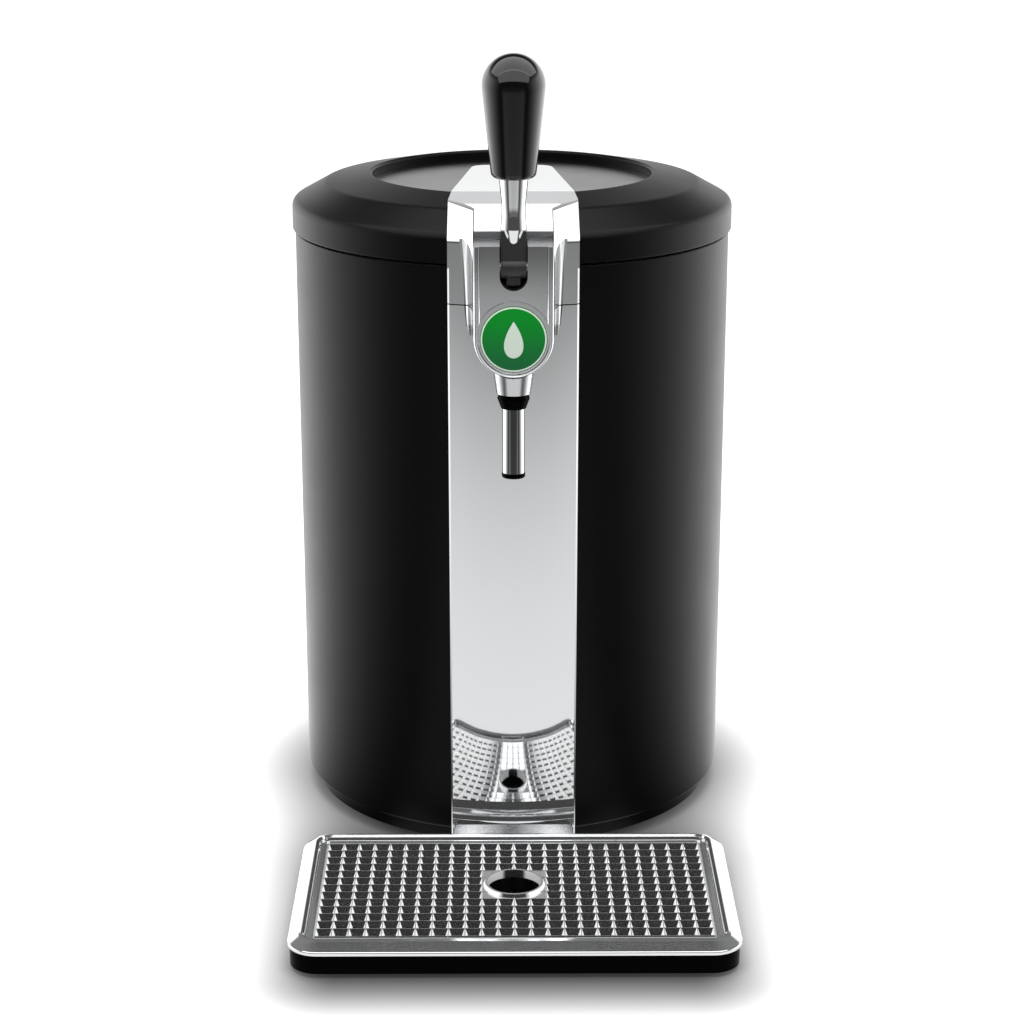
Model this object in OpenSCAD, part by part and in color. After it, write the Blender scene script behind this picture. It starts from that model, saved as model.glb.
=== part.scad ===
// Mini keg beer dispenser: a cooled round body for one small keg, a hinged lid,
// a pull-forward tap and a loose drip tray. Millimetres, +Z up, front at -Y.
// Everything is drawn about the axis of the round body and then moved along Y,
// so that the origin is the centre of the footprint.

/* [Body] */
// Outer radius of the body shell
shell_r = 123; // [119:1:135]
// Wall of the body shell
shell_t = 3; // [2:0.5:4]
// Height of the shell's bottom edge above the table
shell_lift = 12; // [10:1:18]
// How far the plinth stands back from the shell
plinth_inset = 6; // [4:0.5:10]
// Radius of the keg chamber
chamber_r = 89; // [86:0.5:92]
// Depth of the keg chamber up to the top of the shell
chamber_depth = 252.5; // [240:0.5:265]
// Wall of the chamber liner
liner_t = 1.4; // [1:0.1:2]
// Height of the rubber feet
foot_h = 3; // [2:0.5:5]
// Radius of the rubber feet
foot_r = 8; // [6:0.5:9]

/* [Cooling] */
// Side of the square fan frame
fan_w = 80; // [70:1:84]
// Thickness of the fan
fan_t = 20; // [15:1:25]
// Side of the square heat sink
sink_w = 100; // [90:1:106]
// Height of the heat sink's fins
fin_h = 18; // [14:1:24]
// Number of fins
fin_count = 17; // [9:2:21]
// Thickness of the heat sink's base
sink_base_t = 5; // [4:0.5:8]
// Side of the cooling module
module_w = 40; // [30:1:44]
// Thickness of the cooling module
module_t = 4; // [3:0.5:5]
// Side of the cold block
block_w = 50; // [40:1:56]
// Thickness of the cold block
block_t = 14; // [10:1:20]
// Thickness of the deck that carries the chamber
deck_t = 3; // [2:0.5:4]

/* [Lid] */
// Gap between the lid and the shell
seam_gap = 1.2; // [0.8:0.1:2]
// How far the lid stands out past the shell
lid_overhang = 1.5; // [0:0.5:3]
// Height of the lid's upright band
lid_band_h = 15.3; // [12:0.1:20]
// Height of the sloping shoulder above the band
shoulder_h = 10.5; // [8:0.5:14]
// Width of the sloping shoulder
shoulder_w = 19; // [15:0.5:24]
// Rise of the crown from the shoulder to the recess
crown_h = 5; // [3:0.5:8]
// Radius of the round recess in the top
recess_r = 79; // [70:0.5:84]
// Depth of the recess to its inlaid disc
recess_h = 5.5; // [5:0.5:8.5]
// Thickness of the inlaid disc
inlay_t = 2.5; // [1.5:0.5:3]
// Wall of the lid shell
lid_t = 2.6; // [2:0.1:3]

/* [Column] */
// Half the width of the bright front column
column_hw = 34.4; // [30:0.2:38]
// How far the column's face stands out from the shell
column_proud = 8; // [6:0.5:10]
// Wall of the column panel
column_t = 2.4; // [1.6:0.2:3]
// Drop from the top of the shell to the seam across the column
column_drop = 19; // [16:0.5:24]

/* [Tap] */
// Half the width of the tap cover
cover_hw = 20.7; // [18:0.1:22]
// Depth of the tap cover in front of the column
cover_depth = 18.5; // [17.5:0.5:22]
// Height of the tap cover's top above the shell's top
cover_rise = 16; // [13:0.5:18]
// Wall of the tap cover
cover_t = 2.4; // [1.8:0.2:3]
// Radius of the rounded rail round the cover
rail_r = 1.7; // [1.2:0.1:2.2]
// Drop from the top of the shell to the badge's centre
badge_drop = 32; // [31:0.5:36]
// Radius of the badge
badge_r = 17.3; // [14:0.1:17.6]
// Distance of the tap's axis in front of the column's face
tap_reach = 11; // [10.5:0.1:12]
// Half the width of the lever's slot
slot_hw = 7.2; // [7.1:0.1:8]
// Height of the lever's pivot above the shell's top
pivot_rise = 4; // [3:0.5:5]

/* [Lever] */
// Height of the black handle
knob_h = 62.7; // [50:0.1:75]
// Largest radius of the handle
knob_r = 16.1; // [13:0.1:17]
// Radius at the handle's foot
knob_foot_r = 11.4; // [9:0.1:13]
// Visible length of the metal stem
stem_h = 36.8; // [32:0.1:45]
// Waist radius of the stem
stem_r = 6.2; // [5.6:0.1:6.6]

/* [Spout] */
// Height of the cone under the badge
cone_h = 10; // [7:0.5:14]
// Radius of the cone at its top
cone_r = 10.6; // [9:0.1:10.8]
// Radius of the cone at its foot
cone_foot_r = 9.2; // [8:0.1:10]
// Height of the black collar
collar_h = 8.1; // [6:0.1:12]
// Largest radius of the collar
collar_r = 8.5; // [8:0.1:9]
// Radius of the spout tube
spout_r = 6.05; // [5.4:0.05:6.3]
// Bore radius of the spout tube
spout_bore_r = 4.6; // [4:0.1:4.8]
// Visible length of the spout tube
spout_h = 34.9; // [25:0.1:45]
// Height of the spout's black end
tip_h = 2.7; // [2:0.1:4]

/* [Drip tray] */
// Cells across the width
grid_cols = 24; // [20:2:24]
// Cells from back to front
grid_rows = 13; // [11:2:13]
// Half the width of the tray
tray_hw = 115.3; // [112:0.1:125]
// Depth of the tray from back to front
tray_d = 139.5; // [138:0.5:150]
// Outer corner radius of the tray
tray_corner_r = 16; // [16:0.5:20]
// Height of the tray's black base above its feet
tray_base_h = 10.5; // [9:0.5:13]
// Height of the bright rim's ridge above the base
rim_h = 6; // [5.5:0.5:7]
// Wall of the tray's base
tray_t = 2.5; // [2:0.1:3]
// Height of the tray's feet
tray_foot_h = 2.5; // [2:0.5:4]
// Radius of the round hole under the spout
drain_r = 14.2; // [12:0.1:15]
// Gap between the tray and the column
tray_gap = 2.5; // [2.4:0.1:5]

/* [Hidden] */
$fn = 180;
// Clearance of a turning pin in its hole, on the radius
run_clear = 0.05;
// Gap between parts that lift, slide or swing past each other
free_gap = 0.5;
// Gap between a part and the inner piece that lies beside it
seat_gap = 0.3;
// Small overlap of cutting shapes past a face
cut = 1;

// Heights, from the table up
plinth_floor = foot_h;
flange_t = 2;
plinth_plate_z = shell_lift + flange_t;
plinth_plate_t = 3;
bay_z = plinth_plate_z + plinth_plate_t;
sink_z = bay_z + fan_t;
sink_top = sink_z + fin_h + sink_base_t;
deck_z = sink_top;
block_z = sink_top + module_t;
liner_z = block_z + block_t;
liner_floor_t = 2;
chamber_z = liner_z + liner_floor_t;
shell_top = chamber_z + chamber_depth;
rim_top = shell_top - 1;
rim_t = 4.5;
rim_z = rim_top - rim_t;

// Lid
lid_r = shell_r + lid_overhang;
lid_z = shell_top + seam_gap;
band_top = lid_z + lid_band_h;
shoulder_top = band_top + shoulder_h;
crown_top = shoulder_top + crown_h;
shoulder_r = lid_r - shoulder_w;
recess_floor = crown_top - recess_h - inlay_t;
dish_z = lid_z + 9.5;
dish_r = min(chamber_r, recess_r) - 5;
dish_t = 1.8;
nose_rise = 1.5;
nose_top = crown_top + nose_rise;
nose_t = 2.4;
nose_back_hw = 22;
nose_end_y = 8;
nose_corner_r = 9;
nose_flat_r = recess_r + 3;
// Fold where the nose turns down, and the foot of its slope
fold_r = shoulder_r - 3.5;
fold_z = shoulder_top + 2.9;
slope_r = lid_r - 0.5;
slope_z = band_top + 3;
nose_slope = (fold_z - slope_z) / (slope_r - fold_r);
// Notch in the lid's front, in which the tap's pillars stand
notch_hw = column_hw + free_gap;
notch_y = 96;
nose_side_y = -notch_y;
seam_drop = 9.5;
gasket_w = 5.6;

// Column and tap, as distances in front of the body's axis
face_r = shell_r + column_proud;
column_top = shell_top - column_drop;
column_seam = 0.6;
cover_front = face_r + cover_depth;
cover_top = shell_top + cover_rise;
badge_z = shell_top - badge_drop;
badge_boss_r = badge_r + 2.2;
badge_boss_h = 1.5;
badge_h = 1.6;
badge_dome_h = 1.4;
tap_y = -(face_r + tap_reach);
pivot_z = shell_top + pivot_rise;
slot_z = cover_top - 23;
pillar_back = notch_y + free_gap;
pillar_in = cover_hw + seat_gap;
pillar_t = 2.6;
facet_hw = pillar_in - free_gap;
flank_front = cover_front - 1.5;
flank_points = 8;
// Widths of the fairing beside the tap cover, by height above the badge's centre
flank_levels = [[-6, 0.4], [-2.5, 2.4], [3, 4], [13, 4.6], [30, 5.4], [46, 6.8], [66, 8.4]];
duct_hw = 6.6;
duct_z = shell_top - 14;
bridge_t = 5.5;
ear_t = 4;
hub_r = tap_reach - 5.2;
hub_hw = slot_hw - 0.6;
pin_r = 2.5;
neck_r = 3;
stem_z = pivot_z + 9;
socket_h = 11;
knob_z = stem_z + stem_h;
cone_top_z = badge_z - cover_hw;
tube_top = cone_top_z + cover_t + 1.5;
cone_z = cone_top_z - cone_h + 0.6;
collar_z = cone_z - collar_h;
tube_z = collar_z - spout_h;
tip_z = tube_z - tip_h;

// Lid hinge at the back
hinge_pin_r = 2;
knuckle_r = 5;
hinge_y = shell_r + 8;
hinge_z = lid_z + 7.5;
hinge_hw = 24;
hinge_arm_hw = 7.6;

// Drip tray
tray_back = face_r + tray_gap;
tray_mid = tray_back + tray_d / 2;
tray_base_z = tray_foot_h;
rim_z0 = tray_base_z + tray_base_h;
ridge_z = rim_z0 + rim_h;
rim_w = 12.6;
rim_ledge_z = rim_z0 + 0.5;
rim_ledge_w = 3;
grid_top = ridge_z - 2.4;
grid_bottom = rim_ledge_z + seat_gap;
// Open field of the grid, inside a flat margin, and the pitch of its cells
grid_w = 2 * (tray_hw - rim_w - 1.42);
grid_d = tray_d - 2 * (rim_w + 2.29);
pitch_x = grid_w / grid_cols;
pitch_y = grid_d / grid_rows;
plate_cells = 4;
plate_row = 1;

// Footprint: the front of the tray and the back of the hinge
front_reach = tray_back + tray_d;
rear_reach = hinge_y + knuckle_r;
origin_shift = (front_reach - rear_reach) / 2;

// Colours
black_satin = "#1c1c1e";
black_gloss = "#0c0c0d";
silver = "#c4c6c8";
chrome = "#dcdee0";
grey = "#8a8d90";
foam = "#e8e2c8";

// ---------------------------------------------------------------- helpers

// Moves what is drawn about the body's axis into the part's own frame
module on_axis() { translate([0, origin_shift, 0]) children(); }

// Corner of an outline rounded with radius c[2]; n points along the arc
function round_corner(a, c, b, n) =
  let (
    u = [a[0] - c[0], a[1] - c[1]] / norm([a[0] - c[0], a[1] - c[1]]),
    v = [b[0] - c[0], b[1] - c[1]] / norm([b[0] - c[0], b[1] - c[1]]),
    half = acos(u * v) / 2,
    reach = c[2] / tan(half),
    m = (u + v) / norm(u + v),
    centre = [c[0], c[1]] + m * c[2] / sin(half),
    p = [c[0], c[1]] + u * reach - centre,
    q = [c[0], c[1]] + v * reach - centre,
    a0 = atan2(p[1], p[0]),
    turn = (atan2(q[1], q[0]) - a0 + 540) % 360 - 180
  )
  [for (i = [0:n]) centre + c[2] * [cos(a0 + turn * i / n), sin(a0 + turn * i / n)]];

// Outline from corner points [x, y, radius]; a radius of 0 stays sharp
function rounded(pts, n = 5) =
  [for (i = [0:len(pts) - 1])
    each pts[i][2] > 0
      ? round_corner(pts[(i + len(pts) - 1) % len(pts)], pts[i], pts[(i + 1) % len(pts)], n)
      : [[pts[i][0], pts[i][1]]]];

// Disc about the Z axis from z0 to z1
module disc(r, z0, z1) { translate([0, 0, z0]) cylinder(r = r, h = z1 - z0); }

// Ring about the Z axis from z0 to z1
module ring(r_out, r_in, z0, z1) {
  translate([0, 0, z0]) difference() {
    cylinder(r = r_out, h = z1 - z0);
    translate([0, 0, -cut]) cylinder(r = r_in, h = z1 - z0 + 2 * cut);
  }
}

// Block given by its limits along each axis
module block(x, y, z) {
  translate([x[0], y[0], z[0]]) cube([x[1] - x[0], y[1] - y[0], z[1] - z[0]]);
}

// Cylinder along X, centred on x = 0
module bar_x(r, half_length, y, z) {
  translate([-half_length, y, z]) rotate([0, 90, 0]) cylinder(r = r, h = 2 * half_length);
}

// Cylinder along Y from y0 to y1
module bar_y(r, x, y0, y1, z) {
  translate([x, y1, z]) rotate([90, 0, 0]) cylinder(r = r, h = y1 - y0);
}

// Open channel for the beer line, from the chamber to the tap
module beer_duct() {
  block([-duct_hw, duct_hw], [-face_r - cut, -chamber_r + 20], [duct_z, cover_top]);
}

// Upright profile swept round a rectangle with rounded corners.
// The profile's x is the distance in from the outline, its y is the height.
module frame_sweep(hw, d, r, profile) {
  side_x = hw - r;
  side_y = d / 2 - r;
  outward = [for (p = profile) [r - p[0], p[1]]];
  for (sx = [-1, 1], sy = [-1, 1])
    translate([sx * side_x, sy * side_y, 0])
      rotate([0, 0, sx > 0 ? (sy > 0 ? 0 : 270) : (sy > 0 ? 90 : 180)])
        rotate_extrude(angle = 90) polygon(outward);
  for (side = [0, 1]) rotate([0, 0, 180 * side]) {
    translate([side_x, side_y, 0]) rotate([90, 0, 0]) linear_extrude(2 * side_y) polygon(outward);
    translate([-side_x, side_y, 0]) rotate([90, 0, 90]) linear_extrude(2 * side_x) polygon(outward);
  }
}

// Solid rectangle with rounded corners, centred on the Z axis
module round_slab(hw, d, r, z0, z1) {
  translate([0, 0, z0]) {
    translate([-hw + r, -d / 2, 0]) cube([2 * (hw - r), d, z1 - z0]);
    translate([-hw, -d / 2 + r, 0]) cube([2 * hw, d - 2 * r, z1 - z0]);
    for (sx = [-1, 1], sy = [-1, 1])
      translate([sx * (hw - r), sy * (d / 2 - r), 0]) cylinder(r = r, h = z1 - z0);
  }
}

// ---------------------------------------------------------------- body

exhaust_deg = [for (a = [24:4:56]) each [a, -a]];
panel_hw = 31;
panel_z0 = bay_z + 4;
panel_z1 = deck_z - 5;
screw_deg = [25, 155, 205, 335];
screw_circle = shell_r - 19;
foot_deg = [55, 125, 235, 305];
foot_circle = shell_r - 28;
hinge_screw_x = 17;
hinge_screw_z = shell_top - 12;

module outer_shell() {
  color(black_satin) on_axis() difference() {
    rotate_extrude(convexity = 4) polygon(rounded([
      [shell_r - plinth_inset + free_gap, shell_lift, 0],
      [shell_r, shell_lift, 1.6],
      [shell_r, shell_top, 0.8],
      [shell_r - shell_t, shell_top, 0],
      [shell_r - shell_t, shell_lift + flange_t, 0],
      [shell_r - plinth_inset + free_gap, shell_lift + flange_t, 0]
    ]));
    beer_duct();
    block([-panel_hw, panel_hw], [chamber_r, shell_r + cut], [panel_z0, panel_z1]);
    for (a = exhaust_deg) rotate([0, 0, 90 + a])
      block([chamber_r, shell_r + cut], [-1.6, 1.6], [bay_z + 6, deck_z - 6]);
    for (sx = [-1, 1]) bar_y(1.5, sx * hinge_screw_x, shell_r - 2 * shell_t, shell_r + cut, hinge_screw_z);
  }
}

tab_x = 22;
tab_hw = 7;
tab_z = tray_base_z + 3;
tab_t = 3;
tab_reach = 6;

module base_plinth() {
  plinth_r = shell_r - plinth_inset;
  skirt_t = 4;
  color(black_satin) on_axis() difference() {
    union() {
      ring(plinth_r, plinth_r - skirt_t, plinth_floor, plinth_plate_z + cut);
      disc(shell_r - shell_t - seat_gap, plinth_plate_z, bay_z);
      for (a = foot_deg) rotate([0, 0, a]) translate([foot_circle, 0, plinth_floor])
        cylinder(r = foot_r + 1.5, h = plinth_plate_z - plinth_floor + cut);
      for (sx = [-1, 1]) difference() {
        block([sx * tab_x - tab_hw, sx * tab_x + tab_hw],
              [-(tray_back + tray_t + tab_reach), -plinth_r + 30], [tab_z, tab_z + tab_t]);
        cylinder(r = plinth_r - skirt_t / 2, h = shell_top);
      }
    }
    for (i = [-4:4]) {
      chord = sqrt(pow(fan_w / 2 - 4, 2) - pow(i * 8, 2));
      block([-chord, chord], [i * 8 - 2, i * 8 + 2], [plinth_plate_z - cut, bay_z + cut]);
    }
    for (a = screw_deg) rotate([0, 0, a]) translate([screw_circle, 0, 0])
      cylinder(r = 1.7, h = shell_top);
  }
}

module plinth_feet() {
  color("#202020") on_axis() for (a = foot_deg) rotate([0, 0, a])
    translate([foot_circle, 0, 0]) cylinder(r = foot_r, h = foot_h);
}

module base_screws() {
  color(grey) on_axis() for (a = screw_deg) rotate([0, 0, a]) translate([screw_circle, 0, 0]) {
    translate([0, 0, plinth_plate_z - 2.2]) cylinder(r = 3.2, h = 2.2);
    translate([0, 0, plinth_plate_z]) cylinder(r = 1.7, h = plinth_plate_t + 12);
  }
}

module deck_plate() {
  deck_r = shell_r - shell_t - seat_gap;
  hole_hw = module_w / 2 + 2;
  color("#3a3c3f") on_axis() difference() {
    union() {
      disc(deck_r, deck_z, deck_z + deck_t);
      for (a = screw_deg) rotate([0, 0, a]) translate([screw_circle, 0, bay_z])
        cylinder(r = 5.5, h = deck_z - bay_z + deck_t);
    }
    block([-hole_hw, hole_hw], [-hole_hw, hole_hw], [deck_z - cut, deck_z + deck_t + cut]);
    for (a = screw_deg) rotate([0, 0, a]) translate([screw_circle, 0, bay_z - cut])
      cylinder(r = 1.7, h = 12.5 + cut);
  }
}

module insulation() {
  foam_r = shell_r - shell_t - seat_gap;
  hole_hw = block_w / 2 + seat_gap;
  color(foam) on_axis() difference() {
    translate([0, 0, deck_z + deck_t]) cylinder(r = foam_r, h = rim_z - deck_z - deck_t);
    translate([0, 0, liner_z]) cylinder(r = chamber_r + liner_t, h = shell_top);
    block([-hole_hw, hole_hw], [-hole_hw, hole_hw], [deck_z, liner_z + cut]);
    beer_duct();
  }
}

module chamber_liner() {
  color(silver) on_axis() difference() {
    translate([0, 0, liner_z]) cylinder(r = chamber_r + liner_t, h = rim_z - liner_z);
    translate([0, 0, chamber_z]) cylinder(r = chamber_r, h = shell_top);
    beer_duct();
  }
}

module rim_ring() {
  color("#2a2b2d") on_axis() difference() {
    ring(shell_r - shell_t - seat_gap, chamber_r, rim_z, rim_top);
    beer_duct();
  }
}

// ---------------------------------------------------------------- cooling

module cold_block() {
  color(silver) on_axis() block([-block_w / 2, block_w / 2], [-block_w / 2, block_w / 2], [block_z, liner_z]);
}

module cooling_module() {
  color("white") on_axis()
    block([-module_w / 2, module_w / 2], [-module_w / 2, module_w / 2], [sink_top, block_z]);
}

module heat_sink() {
  fin_t = 1.5;
  gap = (sink_w - fin_t) / (fin_count - 1);
  color(silver) on_axis() {
    block([-sink_w / 2, sink_w / 2], [-sink_w / 2, sink_w / 2], [sink_z + fin_h, sink_top]);
    for (i = [0:fin_count - 1])
      translate([-sink_w / 2 + i * gap, -sink_w / 2, sink_z]) cube([fin_t, sink_w, fin_h]);
  }
}

fan_bore_r = fan_w / 2 - 1.8;
fan_shaft_r = 1.5;

module fan_frame() {
  motor_r = 15;
  color("#26282a") on_axis() union() {
    difference() {
      block([-fan_w / 2, fan_w / 2], [-fan_w / 2, fan_w / 2], [bay_z, sink_z]);
      translate([0, 0, bay_z - cut]) cylinder(r = fan_bore_r, h = fan_t + 2 * cut);
      for (sx = [-1, 1], sy = [-1, 1])
        translate([sx * (fan_w / 2 - 4.25), sy * (fan_w / 2 - 4.25), bay_z - cut])
          cylinder(r = 2.15, h = fan_t + 2 * cut);
    }
    translate([0, 0, bay_z]) cylinder(r = motor_r, h = 2.5);
    for (a = [45:90:315]) rotate([0, 0, a]) block([motor_r - 1, fan_bore_r + 1], [-2, 2], [bay_z, bay_z + 2]);
    translate([0, 0, bay_z]) cylinder(r = fan_shaft_r, h = fan_t - 4);
  }
}

module fan_rotor() {
  hub = 15.5;
  z0 = bay_z + 3.2;
  z1 = sink_z - 2;
  color("#303336") on_axis() difference() {
    union() {
      translate([0, 0, z0]) cylinder(r = hub, h = z1 - z0);
      for (i = [0:6]) rotate([0, 0, i * 360 / 7]) translate([hub - 1.5, 0, (z0 + z1) / 2])
        rotate([38, 0, 0]) translate([0, -8, -0.7]) cube([fan_bore_r - hub, 16, 1.4]);
    }
    translate([0, 0, z0 - cut]) cylinder(r = fan_shaft_r + run_clear, h = fan_t - 4 - 3.2 + cut + 1);
  }
}

// ---------------------------------------------------------------- electrics

board_back = shell_r - 29;

module power_board() {
  board_d = 36;
  z0 = bay_z + 4;
  color("#3d6b45") on_axis() {
    block([-46, 46], [board_back - board_d, board_back], [z0, z0 + 1.6]);
    for (sx = [-41, 41], y = [board_back - board_d + 5, board_back - 5])
      translate([sx, y, bay_z]) cylinder(r = 3, h = z0 - bay_z);
  }
  color("#d8b44a") on_axis() block([-16, 16], [board_back - 32, board_back - 6], [z0 + 1.6, z0 + 24]);
  color("#333a66") on_axis() for (x = [26, 38]) translate([x, board_back - 13, z0 + 1.6]) cylinder(r = 5, h = 20);
  color(silver) on_axis() block([-42, -38], [board_back - 32, board_back - 8], [z0 + 1.6, z0 + 20]);
  color(grey) on_axis() block([-32, -22], [board_back - 28, board_back - 12], [z0 + 1.6, z0 + 13]);
}

module control_board() {
  x0 = -(sink_w / 2 + 18);
  color("#3d6b45") on_axis() {
    block([x0 - 1.6, x0], [-30, 30], [bay_z, deck_z - 6]);
    for (y = [-24, 24]) block([x0 - 6, x0 + 4], [y - 3, y + 3], [bay_z, bay_z + 4]);
  }
  color("#26282a") on_axis() {
    block([x0, x0 + 3], [-8, 8], [bay_z + 12, bay_z + 28]);
    block([x0, x0 + 9], [12, 26], [bay_z + 8, bay_z + 18]);
    block([x0, x0 + 6], [-26, -14], [bay_z + 10, bay_z + 18]);
  }
}

panel_y = shell_r - 9.5;
panel_t = 2.5;
socket_z = (panel_z0 + panel_z1) / 2;
inlet_x = -14;
switch_x = 14;
flange_out = 2;
inlet_body_hw = 10;
inlet_body_hh = 6.5;
inlet_depth = 12;
inlet_r = 4.4;
inlet_pitch = 8.6;
switch_body_hw = 6.8;
rocker_hw = 4.2;
rocker_r = 8.6;
rocker_y = panel_y - 2.2;
switch_hole_hh = rocker_r + seat_gap;
switch_body_d = 14;

module rear_panel() {
  wing_hw = panel_hw + 5;
  color(black_satin) on_axis() difference() {
    union() {
      block([-wing_hw, wing_hw], [panel_y - panel_t, panel_y], [bay_z, deck_z]);
      intersection() {
        difference() {
          block([-panel_hw - 2, panel_hw + 2], [panel_y - 1, shell_r], [panel_z0 - 2, panel_z1 + 2]);
          block([-panel_hw, panel_hw], [panel_y - 2, shell_r + cut], [panel_z0, panel_z1]);
        }
        cylinder(r = shell_r - shell_t, h = shell_top);
      }
    }
    block([inlet_x - inlet_body_hw, inlet_x + inlet_body_hw], [panel_y - 10, panel_y + cut],
          [socket_z - inlet_body_hh, socket_z + inlet_body_hh]);
    block([switch_x - switch_body_hw, switch_x + switch_body_hw], [panel_y - 10, panel_y + cut],
          [socket_z - switch_hole_hh - 1, socket_z + switch_hole_hh + 1]);
  }
}

// Slot with round ends that the mains lead's connector goes into
module inlet_socket(y0, y1) {
  for (s = [-1, 1]) bar_y(inlet_r, inlet_x + s * inlet_pitch / 2, y0, y1, socket_z);
  block([inlet_x - inlet_pitch / 2, inlet_x + inlet_pitch / 2], [y0, y1], [socket_z - inlet_r, socket_z + inlet_r]);
}

module inlet_housing() {
  front = panel_y + flange_out;
  color(black_satin) on_axis() difference() {
    union() {
      block([inlet_x - inlet_body_hw - 2, inlet_x + inlet_body_hw + 2], [panel_y, front],
            [socket_z - inlet_body_hh - 2, socket_z + inlet_body_hh + 2]);
      block([inlet_x - inlet_body_hw, inlet_x + inlet_body_hw], [front - inlet_depth - 4, panel_y],
            [socket_z - inlet_body_hh, socket_z + inlet_body_hh]);
    }
    inlet_socket(front - inlet_depth, front + cut);
  }
}

module inlet_pins() {
  front = panel_y + flange_out;
  color("#c9a24a") on_axis() for (s = [-1, 1])
    bar_y(1.2, inlet_x + s * inlet_pitch / 2, front - inlet_depth, front - 2, socket_z);
}

module switch_frame() {
  front = panel_y + flange_out;
  hole_hw = rocker_hw + seat_gap;
  color(black_satin) on_axis() difference() {
    union() {
      block([switch_x - switch_body_hw - 2, switch_x + switch_body_hw + 2], [panel_y, front],
            [socket_z - switch_hole_hh - 3, socket_z + switch_hole_hh + 3]);
      block([switch_x - switch_body_hw, switch_x + switch_body_hw], [panel_y - switch_body_d, panel_y],
            [socket_z - switch_hole_hh - 1, socket_z + switch_hole_hh + 1]);
    }
    block([switch_x - hole_hw, switch_x + hole_hw], [panel_y - switch_body_d + 2, front + cut],
          [socket_z - switch_hole_hh, socket_z + switch_hole_hh]);
    translate([switch_x, 0, 0]) bar_x(1.2 + run_clear, rocker_hw + 1.8, rocker_y, socket_z);
  }
}

module switch_rocker() {
  tilt = 8;
  color("#2c2d30") on_axis() translate([switch_x, rocker_y, socket_z]) rotate([-tilt, 0, 0]) union() {
    difference() {
      bar_x(rocker_r, rocker_hw, 0, 0);
      block([-rocker_hw - cut, rocker_hw + cut], [-2 * rocker_r, -3], [-2 * rocker_r, 2 * rocker_r]);
      for (s = [-1, 1]) rotate([-s * tilt, 0, 0])
        block([-rocker_hw - cut, rocker_hw + cut], [rocker_r - 2.2, 2 * rocker_r],
              s > 0 ? [0, 2 * rocker_r] : [-2 * rocker_r, 0]);
    }
    bar_x(1.2, rocker_hw + 1.6, 0, 0);
  }
}

// ---------------------------------------------------------------- column

// Plan of the column: a strip of a ring that stands on the shell
module column_plan(inner_r) {
  difference() {
    intersection() {
      difference() {
        circle(r = face_r, $fn = 180);
        circle(r = inner_r, $fn = 180);
      }
      translate([-column_hw, -face_r - cut]) square([2 * column_hw, face_r]);
    }
    for (sx = [-1, 1])
      translate([sx * column_hw, -sqrt(pow(face_r, 2) - pow(column_hw, 2))]) rotate(45)
        square(1.6, center = true);
  }
}

// One side's fairing that blends the tap cover into the column: a hollow curve in
// plan, with a width of its own at each level
module flank(side) {
  function flank_ring(w, z) = concat(
    [for (i = [0:flank_points]) let (t = 90 * i / flank_points)
      [side * (pillar_in + w * (1 - cos(t))), -(flank_front - (flank_front - face_r + 2.5) * sin(t)), z]],
    [[side * (pillar_in + w), -(face_r - 4.5), z], [side * pillar_in, -(face_r - 4.5), z]]
  );
  n = flank_points + 3;
  top = len(flank_levels) - 1;
  points = [for (level = flank_levels) each flank_ring(level[1], badge_z + level[0])];
  faces = concat(
    [[for (i = [0:n - 1]) i]],
    [[for (i = [0:n - 1]) (top + 1) * n - 1 - i]],
    [for (k = [0:top - 1], i = [0:n - 1]) [k * n + i, (k + 1) * n + i, k * n + (i + 1) % n]],
    [for (k = [0:top - 1], i = [0:n - 1]) [k * n + (i + 1) % n, (k + 1) * n + i, (k + 1) * n + (i + 1) % n]]
  );
  polyhedron(points, side > 0 ? faces : [for (f = faces) [for (i = [len(f) - 1:-1:0]) f[i]]]);
}

module column_panel() {
  color(silver) on_axis() union() {
    difference() {
      translate([0, 0, shell_lift]) linear_extrude(column_top - shell_lift) column_plan(shell_r);
      translate([0, 0, shell_lift - cut]) intersection() {
        cylinder(r = face_r - column_t, h = shell_top);
        translate([-column_hw + column_t, -2 * shell_r, 0])
          cube([2 * (column_hw - column_t), 2 * shell_r, column_top - column_t - shell_lift + cut]);
      }
    }
    for (side = [-1, 1]) intersection() {
      flank(side);
      block([-column_hw, column_hw], [-2 * shell_r, 0], [shell_lift, column_top]);
    }
  }
}

sill_h = 9;
sill_band_z = shell_lift + 21.8;

module column_sill() {
  sill_hw = column_hw - 1.5;
  sill_front = tray_back - free_gap;
  r = 3;
  color(chrome) on_axis() union() {
    difference() {
      union() {
        block([-sill_hw, sill_hw], [-sill_front, -face_r + 5], [shell_lift, shell_lift + sill_h - r]);
        block([-sill_hw + r, sill_hw - r], [-sill_front, -face_r + 5], [shell_lift, shell_lift + sill_h]);
        for (s = [-1, 1]) bar_y(r, s * (sill_hw - r), -sill_front, -face_r + 5, shell_lift + sill_h - r);
      }
      cylinder(r = face_r, h = shell_top);
    }
    intersection() {
      rotate_extrude(convexity = 4) polygon(rounded([
        [face_r, shell_lift + sill_h - r, 0],
        [sill_front - 0.9, shell_lift + sill_h - r, 0],
        [sill_front - 0.4, shell_lift + sill_h + 1.6, 1.2],
        [sill_front - 1.3, sill_band_z - 8, 4],
        [sill_front - 0.5, sill_band_z - 4.4, 0.8],
        [face_r, sill_band_z, 0]
      ], 4));
      block([-column_hw + 0.6, column_hw - 0.6], [-2 * shell_r, 0], [0, shell_top]);
    }
  }
}

// ---------------------------------------------------------------- tap

// Outline given as [y, z, radius] points, as a bar along X centred on x = 0
module profile_bar(half_length, points) {
  translate([-half_length, 0, 0]) rotate([90, 0, 90]) linear_extrude(2 * half_length) polygon(rounded(points));
}

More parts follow.
